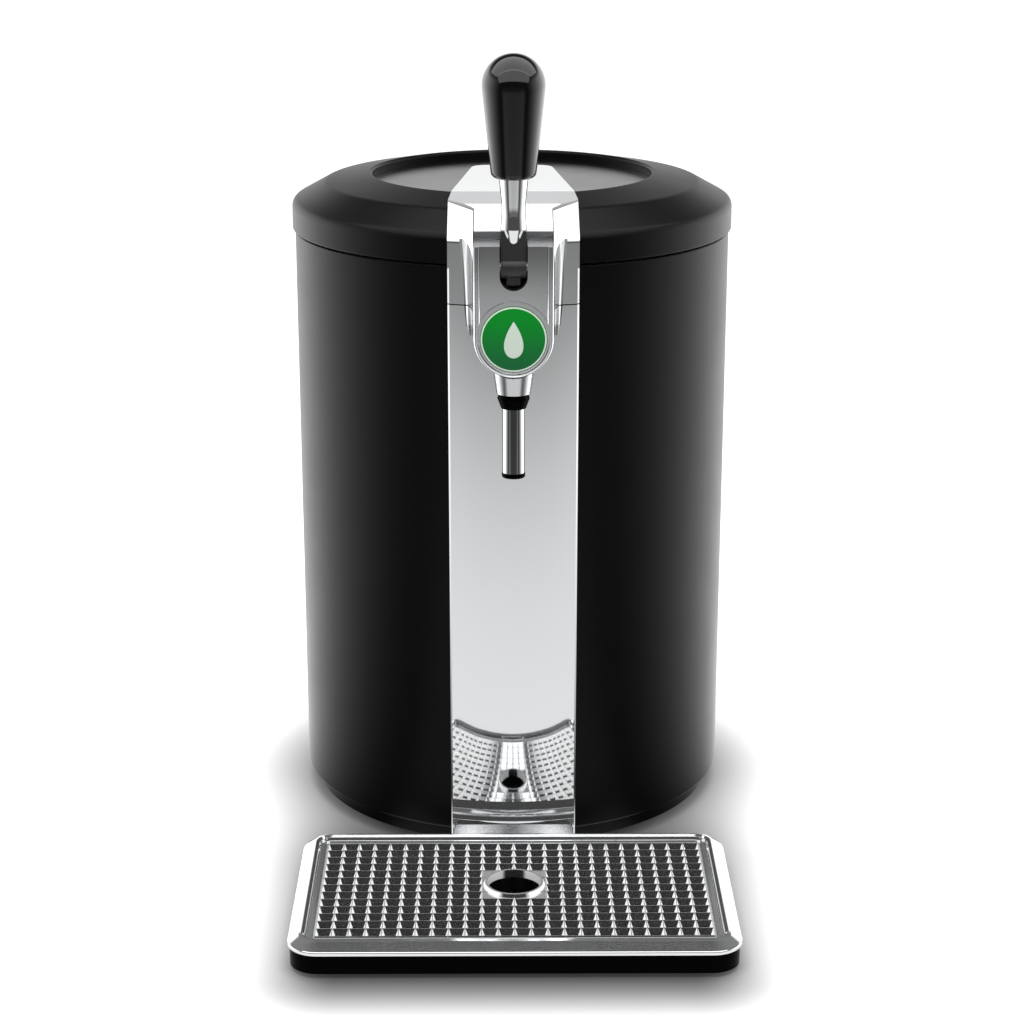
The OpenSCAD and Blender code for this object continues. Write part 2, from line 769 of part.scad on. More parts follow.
// Block under the slope that the nose and the pillars share, lowered by sink
module under_slope(front, sink, edge, z0) {
  front_z = slope_z - (front - slope_r) * nose_slope - sink;
  back_z = fold_z + (fold_r - notch_y + 10) * nose_slope - sink;
  profile_bar(shell_r, [
    [-front, z0, 0], [10 - notch_y, z0, 0], [10 - notch_y, back_z, 0], [-front, front_z, edge]
  ]);
}

// Plan of one pillar's top, up to its seam with the lid's nose
module pillar_plan(side) {
  polygon([for (p = [
    [pillar_in, -2 * shell_r],
    [column_hw, -2 * shell_r],
    [column_hw, -pillar_back],
    [pillar_in, -pillar_back - seam_drop]
  ]) [side * p[0], p[1]]]);
}

module tap_housing() {
  z0 = column_top + column_seam;
  over_z = shell_top + seat_gap;
  pillar_mid = asin((pillar_in + column_hw) / 2 / face_r);
  color(silver) on_axis() union() {
    for (side = [-1, 1]) {
      x = side > 0 ? [pillar_in, column_hw] : [-column_hw, -pillar_in];
      hollow = [x[0] + pillar_t, x[1] - pillar_t];
      intersection() {
        translate([0, 0, z0]) linear_extrude(over_z + cut - z0) column_plan(shell_r - 5);
        difference() {
          block(x, [-face_r - cut, 0], [z0, over_z + cut]);
          translate([0, 0, z0 - cut]) cylinder(r = shell_r, h = over_z - z0 + cut);
        }
      }
      difference() {
        intersection() {
          rotate([0, 0, side * pillar_mid]) under_slope(face_r - 0.1, 0, 4, over_z);
          translate([0, 0, over_z]) linear_extrude(nose_top - over_z) pillar_plan(side);
        }
        block(hollow, [-shell_r, -pillar_back - seam_drop - pillar_t], [over_z - cut, slope_z - 6]);
      }
      intersection() {
        flank(side);
        under_slope(2 * shell_r, 1, 0, z0);
        block([-column_hw, column_hw], [-2 * shell_r, -shell_r - 1], [z0, nose_top]);
      }
    }
    difference() {
      intersection() {
        cylinder(r = face_r, h = cover_top - cut);
        block([-pillar_in - 1, pillar_in + 1], [-2 * shell_r, -face_r + bridge_t], [z0, cover_top - 2]);
      }
      beer_duct();
    }
  }
}

// Outline of the tap cover seen from the front, as a solid along Y
module cover_body(hw, y0, y1, top) {
  bar_y(hw, 0, y0, y1, badge_z);
  block([-hw, hw], [y0, y1], [badge_z, top]);
}

module tap_cover() {
  rail_hw = cover_hw - rail_r;
  slot_floor = 6;
  color(silver) on_axis() difference() {
    union() {
      difference() {
        cover_body(cover_hw, -cover_front, -shell_r, cover_top);
        cylinder(r = face_r, h = shell_top * 2);
        difference() {
          cover_body(cover_hw - cover_t, -cover_front + cover_t, -shell_r + cut, cover_top - cover_t);
          translate([0, tap_y, 0]) cylinder(r = spout_r + 2.5, h = tube_top);
        }
      }
      for (s = [-1, 1]) translate([s * rail_hw, -cover_front, badge_z])
        cylinder(r = rail_r, h = cover_top - badge_z, $fn = 32);
      translate([0, -cover_front, badge_z]) rotate([90, 180, 0]) rotate_extrude(angle = 180)
        translate([rail_hw, 0]) circle(r = rail_r, $fn = 32);
      bar_y(badge_boss_r, 0, -cover_front - badge_boss_h, -cover_front + cover_t, badge_z);
      intersection() {
        bar_y(slot_hw + 1.4, 0, -cover_front + 1, -face_r - slot_floor, slot_z + slot_hw);
        block([-cover_hw, cover_hw], [-cover_front, -face_r], [slot_z - 2, pivot_z - hub_r - 1.2]);
      }
    }
    bar_y(slot_hw, 0, -cover_front - 2 * badge_boss_h, -face_r - 0.8, slot_z + slot_hw);
    block([-slot_hw, slot_hw], [-cover_front - 2 * badge_boss_h, -face_r - 0.8], [slot_z + slot_hw, cover_top + cut]);
    bar_y(badge_r + 0.1, 0, -cover_front - 2 * badge_boss_h, -cover_front, badge_z);
    translate([0, tap_y, 0]) cylinder(r = spout_r, h = badge_z - 4);
  }
}

module badge() {
  steps = 8;
  dome_r = (pow(badge_r, 2) + pow(badge_dome_h, 2)) / (2 * badge_dome_h);
  dome_deg = asin(badge_r / dome_r);
  color("#0a8a2c") on_axis() translate([0, -cover_front, badge_z]) rotate([90, 0, 0])
    rotate_extrude() polygon(concat(
      [[0, 0], [badge_r, 0], [badge_r, badge_h]],
      [for (i = [steps - 1:-1:0]) let (t = dome_deg * i / steps)
        [dome_r * sin(t), badge_h + badge_dome_h - dome_r * (1 - cos(t))]]
    ));
}

bracket_t = 2;
ear_in = hub_hw + 0.9;
foot_cone_r = stem_r + 0.8;

module lever_bracket() {
  y1 = -face_r - seat_gap;
  z0 = pivot_z - hub_r;
  z1 = cover_top - cover_t - 1;
  color("#303236") on_axis() difference() {
    union() {
      block([-ear_in - ear_t, ear_in + ear_t], [y1 - bracket_t, y1 + seat_gap], [shell_top, z1]);
      for (s = [-1, 1]) {
        x = s > 0 ? [ear_in, ear_in + ear_t] : [-ear_in - ear_t, -ear_in];
        block(x, [tap_y - 4.5, y1 - bracket_t + 0.01], [z0, z1]);
      }
    }
    bar_x(pin_r, ear_in + ear_t + cut, tap_y, pivot_z);
    cylinder(r = face_r, h = 2 * shell_top);
  }
}

module lever_pin() {
  color(grey) on_axis() bar_x(pin_r, ear_in + ear_t + 0.8, tap_y, pivot_z);
}

module tube_guide() {
  guide_h = 22;
  mouth_h = 5;
  color(black_satin) on_axis() difference() {
    intersection() {
      block([-9, 9], [-cover_front + cover_t + seat_gap, -face_r - 0.6], [tube_top, tube_top + guide_h]);
      cover_body(cover_hw - cover_t - seat_gap, -cover_front, -shell_r, cover_top);
    }
    translate([0, tap_y, tube_top - cut]) cylinder(r = spout_bore_r, h = guide_h + 2 * cut);
    translate([0, tap_y, tube_top + guide_h - mouth_h])
      cylinder(r1 = spout_bore_r, r2 = spout_bore_r + 1.4, h = mouth_h + 0.01);
  }
}

module spout_cone() {
  color(silver) on_axis() difference() {
    translate([0, tap_y, 0]) difference() {
      translate([0, 0, cone_z]) cylinder(r1 = cone_foot_r, r2 = cone_r + 0.7, h = cone_top_z + 5 - cone_z);
      cylinder(r = spout_r, h = shell_top);
    }
    bar_y(cover_hw, 0, -2 * shell_r, 0, badge_z);
    cylinder(r = face_r, h = shell_top);
  }
}

module spout_collar() {
  color(black_gloss) on_axis() translate([0, tap_y, 0]) rotate_extrude() polygon(rounded([
    [spout_r, collar_z, 0],
    [spout_r + 0.6, collar_z, 0],
    [collar_r, collar_z + 0.62 * collar_h, 0.8],
    [collar_r - 0.9, cone_z, 0.4],
    [spout_r, cone_z, 0]
  ], 3));
}

module spout_tube() {
  color(chrome) on_axis() translate([0, tap_y, 0])
    ring(spout_r, spout_bore_r, tube_z, tube_top);
}

module spout_tip() {
  color(black_gloss) on_axis() translate([0, tap_y, 0]) rotate_extrude() polygon(rounded([
    [spout_bore_r, tip_z, 0],
    [spout_r + 0.1, tip_z, 0.6],
    [spout_r + 0.1, tube_z, 0],
    [spout_bore_r, tube_z, 0]
  ], 3));
}

// ---------------------------------------------------------------- lever

module lever_hub() {
  color(black_gloss) on_axis() difference() {
    union() {
      bar_x(hub_r, hub_hw, tap_y, pivot_z);
      block([-hub_hw, hub_hw], [tap_y - 4.4, tap_y + 4.4], [pivot_z + 2, stem_z + socket_h - 0.8]);
      block([-3.5, 3.5], [tap_y - 2.5, tap_y + 2.5], [pivot_z - 9, pivot_z - 3]);
    }
    bar_x(pin_r + run_clear, hub_hw + cut, tap_y, pivot_z);
    translate([0, tap_y, stem_z - 4.5]) cylinder(r = neck_r, h = 4.5 + cut);
    translate([0, tap_y, stem_z]) cylinder(r1 = neck_r, r2 = foot_cone_r, h = socket_h);
  }
}

module lever_stem() {
  color(chrome) on_axis() translate([0, tap_y, 0]) rotate_extrude() polygon(rounded([
    [0, stem_z - 4.4, 0],
    [neck_r, stem_z - 4.4, 0],
    [neck_r, stem_z, 0],
    [foot_cone_r, stem_z + socket_h, 1],
    [stem_r, stem_z + 0.55 * stem_h, 30],
    [stem_r + 1.4, knob_z, 0],
    [3.5, knob_z, 0],
    [3.5, knob_z + 15, 0],
    [0, knob_z + 15, 0]
  ], 6));
}

module lever_knob() {
  dome_z = knob_z + knob_h - knob_r;
  taper = atan((knob_r - knob_foot_r) / (dome_z - knob_z));
  color(black_gloss) on_axis() translate([0, tap_y, 0]) difference() {
    union() {
      rotate_extrude() polygon(rounded([
        [0, knob_z, 0],
        [knob_foot_r, knob_z, 3.2],
        [knob_r * cos(taper), dome_z - knob_r * sin(taper), 0],
        [0, dome_z - knob_r * sin(taper), 0]
      ]));
      intersection() {
        translate([0, 0, dome_z]) sphere(r = knob_r);
        translate([0, 0, dome_z - knob_r * sin(taper)]) cylinder(r = 2 * knob_r, h = 3 * knob_r);
      }
    }
    translate([0, 0, knob_z - cut]) cylinder(r = 3.5, h = 15.2 + cut);
  }
}

// ---------------------------------------------------------------- lid hinge

module hinge_bracket() {
  plate_y = shell_r + 4;
  color(black_satin) on_axis() difference() {
    union() {
      block([-hinge_hw, hinge_hw], [0, plate_y], [shell_top - 20, shell_top - 0.3]);
      for (s = [-1, 1]) {
        x = s > 0 ? [hinge_arm_hw + 0.4, hinge_hw] : [-hinge_hw, -hinge_arm_hw - 0.4];
        block(x, [0, plate_y + 0.01], [shell_top - 12, hinge_z - 2]);
        block(x, [plate_y - 2, hinge_y + knuckle_r], [hinge_z - 6, hinge_z]);
        translate([x[0], hinge_y, hinge_z]) rotate([0, 90, 0]) cylinder(r = knuckle_r, h = x[1] - x[0]);
      }
    }
    cylinder(r = shell_r, h = shell_top);
    cylinder(r = lid_r + 0.9, h = 2 * shell_top);
    bar_x(hinge_pin_r, hinge_hw + cut, hinge_y, hinge_z);
    for (s = [-1, 1]) bar_y(1.5, s * hinge_screw_x, 0, plate_y + cut, hinge_screw_z);
  }
}

module hinge_pin() {
  color(grey) on_axis() bar_x(hinge_pin_r, hinge_hw, hinge_y, hinge_z);
}

module hinge_screws() {
  color(grey) on_axis() for (s = [-1, 1]) {
    bar_y(1.5, s * hinge_screw_x, shell_r - shell_t - 1, shell_r + 4, hinge_screw_z);
    bar_y(2.8, s * hinge_screw_x, shell_r + 4, shell_r + 5.6, hinge_screw_z);
  }
}

// ---------------------------------------------------------------- lid

// Outside of the lid, from its lower edge over the crown to the middle
function lid_outside() = [
  [lid_r, lid_z, 0.6],
  [lid_r, band_top, 5],
  [shoulder_r, shoulder_top, 9],
  [recess_r, crown_top, 1.6]
];

// Space at the lid's front that is kept clear for the tap's pillars
module lid_notch(grow) {
  block([-notch_hw - grow, notch_hw + grow], [-2 * shell_r, grow - notch_y], [lid_z - 2 * cut, nose_top]);
}

module lid_shell() {
  recess_wall = recess_r + lid_t;
  color(black_satin) on_axis() difference() {
    union() {
      rotate_extrude(convexity = 6) polygon(rounded(concat(
        lid_outside(),
        [
          [recess_r, recess_floor, 0],
          [0, recess_floor, 0],
          [0, recess_floor - lid_t, 0],
          [recess_wall, recess_floor - lid_t, 0],
          [recess_wall, crown_top - lid_t - 0.6, 0],
          [shoulder_r - 1, shoulder_top - lid_t - 0.3, 0],
          [lid_r - lid_t, band_top - lid_t + 0.8, 0],
          [lid_r - lid_t, lid_z, 0]
        ]
      )));
      intersection() {
        rotate_extrude() polygon(rounded(concat(lid_outside(), [[recess_r + 1, lid_z, 0]])));
        lid_notch(lid_t);
      }
    }
    lid_notch(0);
  }
}

module lid_inlay() {
  color(black_gloss) on_axis() translate([0, 0, recess_floor]) cylinder(r = recess_r - seat_gap, h = inlay_t);
}

module lid_insulation() {
  g = seat_gap;
  color(foam) on_axis() difference() {
    rotate_extrude(convexity = 6) polygon([
      [0, dish_z + dish_t + g],
      [dish_r + dish_t + g, dish_z + dish_t + g],
      [dish_r + dish_t + g, lid_z + dish_t + g],
      [lid_r - lid_t - g, lid_z + dish_t + g],
      [lid_r - lid_t - g, band_top - lid_t + 0.4],
      [shoulder_r - 1, shoulder_top - lid_t - 0.8],
      [recess_r + lid_t + g, crown_top - lid_t - 1.2],
      [recess_r + lid_t + g, recess_floor - lid_t - g],
      [0, recess_floor - lid_t - g]
    ]);
    lid_notch(lid_t + g);
  }
}

module lid_liner() {
  color("#d9dadc") on_axis() difference() {
    rotate_extrude(convexity = 6) polygon([
      [0, dish_z],
      [dish_r, dish_z],
      [dish_r, lid_z],
      [lid_r - lid_t, lid_z],
      [lid_r - lid_t, lid_z + dish_t],
      [dish_r + dish_t, lid_z + dish_t],
      [dish_r + dish_t, dish_z + dish_t],
      [0, dish_z + dish_t]
    ]);
    lid_notch(lid_t);
  }
}

module lid_gasket() {
  color("#3a3a3c") on_axis()
    ring(chamber_r + 0.4 + gasket_w, chamber_r + 0.4, rim_top + seat_gap, lid_z);
}

// Tapered plan of the bright nose that runs from the tap to the middle of the lid
function nose_plan(inset) = rounded([
  [column_hw - inset, nose_side_y, 0],
  [nose_back_hw - inset, nose_end_y - inset, nose_corner_r - inset],
  [inset - nose_back_hw, nose_end_y - inset, nose_corner_r - inset],
  [inset - column_hw, nose_side_y, 0]
], 12);

module lid_nose() {
  color(silver) on_axis() difference() {
    intersection() {
      translate([0, 0, lid_z]) linear_extrude(nose_top - lid_z + cut) polygon(concat(nose_plan(0), [
        [-facet_hw, nose_side_y - seam_drop], [-facet_hw, -slope_r],
        [facet_hw, -slope_r], [facet_hw, nose_side_y - seam_drop]
      ]));
      profile_bar(column_hw + cut, [
        [-slope_r, lid_z - cut, 0], [2 * nose_end_y, lid_z - cut, 0], [2 * nose_end_y, nose_top, 0],
        [-nose_flat_r, nose_top, 20], [-fold_r, fold_z, 0.8], [-slope_r, slope_z, 0.6]
      ]);
    }
    intersection() {
      translate([0, 0, lid_z]) linear_extrude(nose_top - nose_t - lid_z) polygon(nose_plan(nose_t));
      block([-column_hw, column_hw], [4 - recess_r, nose_end_y], [lid_z - cut, nose_top]);
    }
    rotate_extrude(convexity = 6) polygon(concat(
      [[0, 0], [lid_r + 0.01, 0]],
      rounded(concat(
        [[lid_r + 0.01, 0, 0]], lid_outside(),
        [[recess_r, recess_floor + inlay_t, 0], [0, recess_floor + inlay_t, 0]]
      ))
    ));
  }
}

module lid_hinge_arm() {
  color(black_satin) on_axis() difference() {
    union() {
      bar_x(knuckle_r, hinge_arm_hw, hinge_y, hinge_z);
      block([-hinge_arm_hw, hinge_arm_hw], [0, hinge_y], [hinge_z - knuckle_r, hinge_z + 2]);
    }
    cylinder(r = lid_r, h = 2 * shell_top);
    bar_x(hinge_pin_r + run_clear, hinge_arm_hw + cut, hinge_y, hinge_z);
  }
}

// ---------------------------------------------------------------- drip tray

module at_tray() { on_axis() translate([0, -tray_mid, 0]) children(); }

module tray_base() {
  inset = 1.2;
  color(black_gloss) at_tray() difference() {
    round_slab(tray_hw - inset, tray_d - 2 * inset, tray_corner_r - inset, tray_base_z, rim_z0);
    round_slab(tray_hw - inset - tray_t, tray_d - 2 * (inset + tray_t), tray_corner_r - inset - tray_t,
               tray_base_z + tray_t, rim_z0 + cut);
    for (sx = [-1, 1])
      block([sx * tab_x - tab_hw - free_gap, sx * tab_x + tab_hw + free_gap],
            [tray_d / 2 - inset - tray_t - cut, tray_d / 2 + cut], [tab_z - free_gap, tab_z + tab_t + free_gap]);
  }
}

module tray_rim() {
  color(chrome) at_tray() frame_sweep(tray_hw, tray_d, tray_corner_r, rounded([
    [0, rim_z0, 0],
    [0, rim_z0 + 1.6, 1.2],
    [5.6, ridge_z - 0.6, 2],
    [7.4, ridge_z, 0.7],
    [8.8, ridge_z - 1.2, 0.3],
    [9.8, grid_top - 0.6, 0.4],
    [rim_w, grid_top - 0.6, 0],
    [rim_w, rim_ledge_z, 0],
    [rim_w + rim_ledge_w, rim_ledge_z, 0],
    [rim_w + rim_ledge_w, rim_z0 - 1.6, 0],
    [4.4, rim_z0 - 1.6, 0],
    [4.4, rim_z0, 0]
  ], 3));
}

module tray_feet() {
  color("#202020") at_tray() for (sx = [-1, 1], sy = [-1, 1])
    translate([sx * (tray_hw - 22), sy * (tray_d / 2 - 22), 0]) cylinder(r = 6, h = tray_foot_h);
}

// Bar along X, centred, whose section narrows to a thin flat ridge at height top
module ridge_bar(length, half_base, h, top) {
  flat = 0.2;
  translate([-length / 2, 0, top - h]) rotate([90, 0, 90]) linear_extrude(length)
    polygon([[-half_base, 0], [half_base, 0], [flat, h], [-flat, h]]);
}

module drip_grid() {
  margin_hw = tray_hw - rim_w - seat_gap;
  margin_d = tray_d - 2 * (rim_w + seat_gap);
  ridge_h = grid_top - grid_bottom;
  plate_hw = plate_cells * pitch_x / 2;
  plate_hd = plate_cells * pitch_y / 2;
  plate_y = plate_row * pitch_y / 2;
  color(chrome) at_tray() difference() {
    union() {
      difference() {
        round_slab(margin_hw, margin_d, tray_corner_r - rim_w, grid_bottom, grid_top - 0.6);
        block([-grid_w / 2, grid_w / 2], [-grid_d / 2, grid_d / 2], [0, ridge_z]);
      }
      intersection() {
        union() {
          for (i = [0:grid_cols]) translate([(i - grid_cols / 2) * pitch_x, 0, 0]) rotate([0, 0, 90])
            ridge_bar(grid_d + 0.5, 0.17 * pitch_x, ridge_h, grid_top);
          for (j = [0:grid_rows]) translate([0, (j - grid_rows / 2) * pitch_y, 0])
            ridge_bar(grid_w + 0.5, 0.24 * pitch_y, ridge_h, grid_top);
        }
        round_slab(margin_hw, margin_d, tray_corner_r - rim_w, grid_bottom, grid_top);
      }
      block([-plate_hw, plate_hw], [plate_y - plate_hd, plate_y + plate_hd], [grid_bottom, grid_top - 0.2]);
      translate([0, plate_y, grid_bottom]) cylinder(r1 = drain_r + 3.4, r2 = drain_r + 1.2, h = ridge_h + 1.6);
    }
    translate([0, plate_y, 0]) cylinder(r = drain_r, h = ridge_z + 10);
  }
}

// ---------------------------------------------------------------- drawing

outer_shell();
base_plinth();
plinth_feet();
base_screws();
deck_plate();
insulation();
chamber_liner();
rim_ring();
cold_block();
cooling_module();
heat_sink();
fan_frame();
fan_rotor();
power_board();
control_board();
rear_panel();
inlet_housing();
inlet_pins();
switch_frame();
switch_rocker();
column_panel();
column_sill();
tap_housing();
tap_cover();
badge();
lever_bracket();
lever_pin();
tube_guide();
spout_cone();
spout_collar();
spout_tube();
spout_tip();
lever_hub();
lever_stem();
lever_knob();
hinge_bracket();
hinge_pin();
hinge_screws();
lid_shell();
lid_inlay();
lid_insulation();
lid_liner();
lid_gasket();
lid_nose();
lid_hinge_arm();
tray_base();
tray_rim();
tray_feet();
drip_grid();
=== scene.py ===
"""Dresses the mini keg beer dispenser in its finishes and sets it in a white studio."""

import math

import bpy
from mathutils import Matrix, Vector


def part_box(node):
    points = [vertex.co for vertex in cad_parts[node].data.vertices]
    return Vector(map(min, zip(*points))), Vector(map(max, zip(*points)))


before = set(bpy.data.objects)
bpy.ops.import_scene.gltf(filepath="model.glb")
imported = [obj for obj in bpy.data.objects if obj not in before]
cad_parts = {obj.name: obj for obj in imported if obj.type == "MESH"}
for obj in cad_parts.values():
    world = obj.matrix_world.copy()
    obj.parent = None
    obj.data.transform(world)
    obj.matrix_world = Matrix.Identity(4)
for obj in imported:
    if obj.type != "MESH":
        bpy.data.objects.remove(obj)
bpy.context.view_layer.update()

bl_info = {
    "name": "Mini keg beer dispenser",
    "version": (1, 0, 0),
    "blender": (4, 5, 0),
    "location": "View3D > Sidebar > Dispenser",
    "description": "Finishes and studio of a mini keg beer dispenser",
    "category": "Object",
}


def middle_y(node):
    """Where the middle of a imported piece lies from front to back."""
    low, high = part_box(node)
    return (low.y + high.y) / 2


BODY_Y = middle_y("outer_shell")
TAP_Y = middle_y("lever_knob")


# ------------------------------------------------------------------ shader maths


def maths(operation, reflected=False):
    """A method for one of Python's operators, which adds the Math node that does the same."""

    def method(self, other):
        values = (other, self) if reflected else (self, other)
        return self.shader.add("ShaderNodeMath", {"operation": operation}, *values)

    return method


class Wire:
    """A socket's value, on which shader maths is written as Python expressions."""

    def __init__(self, shader, socket):
        self.shader = shader
        self.socket = socket

    __add__ = __radd__ = maths("ADD")
    __mul__ = __rmul__ = maths("MULTIPLY")
    __sub__ = maths("SUBTRACT")
    __rsub__ = maths("SUBTRACT", reflected=True)
    __truediv__ = maths("DIVIDE")
    __rtruediv__ = maths("DIVIDE", reflected=True)
    __pow__ = maths("POWER")
    __rpow__ = maths("POWER", reflected=True)
    __lt__ = maths("LESS_THAN")
    __gt__ = maths("GREATER_THAN")
    at_least = maths("MAXIMUM")

    def __abs__(self):
        return self.shader.add("ShaderNodeMath", {"operation": "ABSOLUTE"}, self)

    def smooth(self, low, high, to_low=0.0, to_high=1.0):
        """Eases from to_low to to_high while the value goes from low to high."""
        settings = {"interpolation_type": "SMOOTHSTEP"}
        return self.shader.add("ShaderNodeMapRange", settings, self, low, high, to_low, to_high)


class Shader:
    """A node tree under construction."""

    def __init__(self, tree):
        self.tree = tree
        tree.nodes.clear()

    def add(self, kind, settings=None, *values, out=None, **named):
        """Adds a node, sets it up, feeds its inputs in order or by name and gives one of its outputs."""
        node = self.tree.nodes.new(kind)
        for key, value in (settings or {}).items():
            setattr(node, key, value)
        free = [socket for socket in node.inputs if socket.enabled]
        for socket, value in zip(free, values):
            self.feed(socket, value)
        for key, value in named.items():
            self.feed(node.inputs[key], value)
        given = [socket for socket in node.outputs if socket.enabled]
        if not given:
            return None
        return Wire(self, node.outputs[out] if out else given[0])

    def feed(self, socket, value):
        """Links a wire to an input, or sets the input to a value."""
        if isinstance(value, Wire):
            self.tree.links.new(value.socket, socket)
        elif socket.type == "RGBA":
            socket.default_value = (*value, 1.0)
        else:
            socket.default_value = value

    def blend(self, factor, start, end):
        """Mixes two colours."""
        return self.add("ShaderNodeMix", {"data_type": "RGBA"}, factor, start, end)

    def parts(self, vector):
        """The three components of a vector."""
        first = self.add("ShaderNodeSeparateXYZ", None, vector)
        return [Wire(self, socket) for socket in first.socket.node.outputs]

    def place(self):
        """Object coordinates, in metres."""
        return self.add("ShaderNodeTexCoord", out="Object")

    def axes(self):
        """The three object coordinates as single values."""
        return self.parts(self.place())

    def facing(self):
        """The three components of the direction that the surface faces."""
        return self.parts(self.add("ShaderNodeTexCoord", out="Normal"))

    def ray(self, kind):
        """1 for rays of one kind, such as Camera or Glossy, and 0 for all others."""
        return self.add("ShaderNodeLightPath", out=f"Is {kind} Ray")

    def noise(self, size, detail=2.0):
        """Noise from 0 to 1 whose blobs are about size metres across."""
        return self.add("ShaderNodeTexNoise", None, Vector=self.place(), Scale=1 / size, Detail=detail)

    def surface(self, colour, roughness, metallic=0.0, **others):
        """The shader that every surface here has."""
        sockets = {"Base Color": colour, "Roughness": roughness, "Metallic": metallic, **others}
        return self.add("ShaderNodeBsdfPrincipled", None, **sockets)


def reach(x, y):
    """Distance from the origin of a plane."""
    return (x * x + y * y) ** 0.5


def azimuth(x, y):
    """Angle from straight ahead of the object, from 0 to pi on either side."""
    return abs(x.shader.add("ShaderNodeMath", {"operation": "ARCTAN2"}, x, y * -1))


# ------------------------------------------------------------------ settings


def colour_property(name, description, default):
    """A colour that the sidebar shows as a swatch."""
    return bpy.props.FloatVectorProperty(
        name=name, description=description, default=default, subtype="COLOR", size=3, min=0.0, max=1.0
    )


def ratio_property(name, description, default):
    """A value between 0 and 1."""
    return bpy.props.FloatProperty(
        name=name, description=description, default=default, subtype="FACTOR", min=0.0, max=1.0
    )


def length_property(name, description, default):
    """A length in metres."""
    return bpy.props.FloatProperty(
        name=name, description=description, default=default, subtype="DISTANCE", unit="LENGTH", precision=4
    )


def power_property(name, description, default):
    """A lamp's power in watts."""
    return bpy.props.FloatProperty(
        name=name, description=description, default=default, min=0.0, unit="POWER"
    )


class DispenserFinish(bpy.types.PropertyGroup):
    """Colours and gloss of the dispenser's surfaces."""

    satin_black: colour_property("Satin black", "Colour of the body and the lid", (0.0015, 0.0015, 0.0017))
    satin_gloss: ratio_property("Satin roughness", "Roughness of the body and the lid", 0.36)
    satin_sheen: ratio_property("Satin sheen", "Strength of the body's reflections", 0.12)
    gloss_black: colour_property(
        "Gloss black", "Colour of the lever's handle, the lid's inlay and the tray", (0.0012, 0.0012, 0.0014)
    )
    silver: colour_property("Polished silver", "Colour of the column and the tap", (0.80, 0.81, 0.82))
    silver_gloss: ratio_property("Silver roughness", "Roughness of the column", 0.032)
    chrome: colour_property(
        "Chrome", "Colour of the tray's rim and grid, the sill, the stem and the spout", (0.88, 0.89, 0.90)
    )
    badge_top: colour_property("Badge top", "Green at the badge's upper edge", (0.0, 0.19, 0.014))
    badge_foot: colour_property("Badge foot", "Green at the badge's lower edge", (0.0, 0.095, 0.022))
    badge_print: colour_property("Badge print", "Colour of the badge's ring and drop", (0.52, 0.58, 0.52))


class DispenserStudio(bpy.types.PropertyGroup):
    """Camera, floor and light."""

    camera_away: length_property("Camera distance", "How far the camera is from the body's axis", 1.3515)
    camera_high: length_property("Camera height", "Height of the camera above the floor", 0.5747)
    camera_side: length_property("Camera offset", "How far the camera is to the left of the middle", 0.0077)
    camera_pitch: bpy.props.FloatProperty(
        name="Camera pitch", description="How far the camera looks down", default=math.radians(16.99),
        subtype="ANGLE", unit="ROTATION"
    )
    camera_lens: bpy.props.FloatProperty(
        name="Lens", description="Focal length in millimetres", default=84.04, min=20.0, max=200.0
    )
    floor_colour: colour_property("Floor", "Colour of the floor", (0.93, 0.93, 0.93))
    floor_lift: ratio_property("Floor lift", "Glow that keeps the floor white in the picture", 0.30)
    sky_level: ratio_property("Sky level", "Strength of the even light from all round", 0.8)
    lamp_level: power_property("Overhead level", "Power of the lamp that lights the whole object", 40.0)
    softbox_level: power_property("Softbox level", "Power of the lamp that shows in the lever's handle", 5.6)
    canopy_level: power_property("Canopy level", "Power of the lamp that shows on the lid", 5.2)
    card_level: power_property("Card level", "Power of the lamp that shows on the nose and the tap", 7.0)


# ------------------------------------------------------------------ finishes

SMUDGE_SIZE = 0.03
FINE_SMUDGE = 0.01
DRIFT_SIZE = 2.3 * SMUDGE_SIZE
GRAIN_DEPTH = 0.0001


def new_material(name, build, settings):
    """A material whose surface comes from build."""
    made = bpy.data.materials.new(name)
    made.use_nodes = True
    shader = Shader(made.node_tree)
    shader.add("ShaderNodeOutputMaterial", None, Surface=build(shader, settings))
    return made


def shade(colour, factor=1.0):
    """A colour made lighter or darker."""
    return tuple(min(1.0, part * factor) for part in colour)


def handled(shader, colour, roughness, metallic=0.0, specular=0.5, grain=0.0, grain_size=0.0006,
            smudge=0.03, tint=0.04):
    """A surface with faint smudges in its gloss, a slight drift in its colour and perhaps a fine grain."""
    drift = shader.noise(DRIFT_SIZE, 1.0)
    others = {"Specular IOR Level": specular}
    if grain:
        height = shader.noise(grain_size, 3.0)
        others["Normal"] = shader.add(
            "ShaderNodeBump", None, Strength=grain, Distance=GRAIN_DEPTH, Height=height
        )
    return shader.surface(
        shader.blend(drift, shade(colour, 1 - tint), shade(colour, 1 + tint)),
        shader.noise(SMUDGE_SIZE) * (2 * smudge) + (roughness - smudge), metallic, **others
    )


def satin_black(shader, look):
    """Fine-grained moulding of the body and the lid."""
    return handled(
        shader, shade(look.satin_black), look.satin_gloss, specular=look.satin_sheen,
        grain=0.06, grain_size=0.0009
    )


def gloss_black(shader, look):
    """The lever's handle."""
    return handled(shader, shade(look.gloss_black), 0.09, smudge=0.02)


def inlay_black(shader, look):
    """The disc in the lid."""
    return handled(shader, shade(look.gloss_black), 0.22)


def deep_black(shader, look):
    """The tray's base and the spout's ends, which mirror next to nothing."""
    return handled(shader, shade(look.gloss_black, 0.2), 0.3, specular=0.02)


def dark_plastic(shader, look):
    """Grained mouldings inside, at the back and in the tap's slot."""
    return handled(shader, (0.012, 0.012, 0.013), 0.42, grain=0.12, grain_size=0.0008)


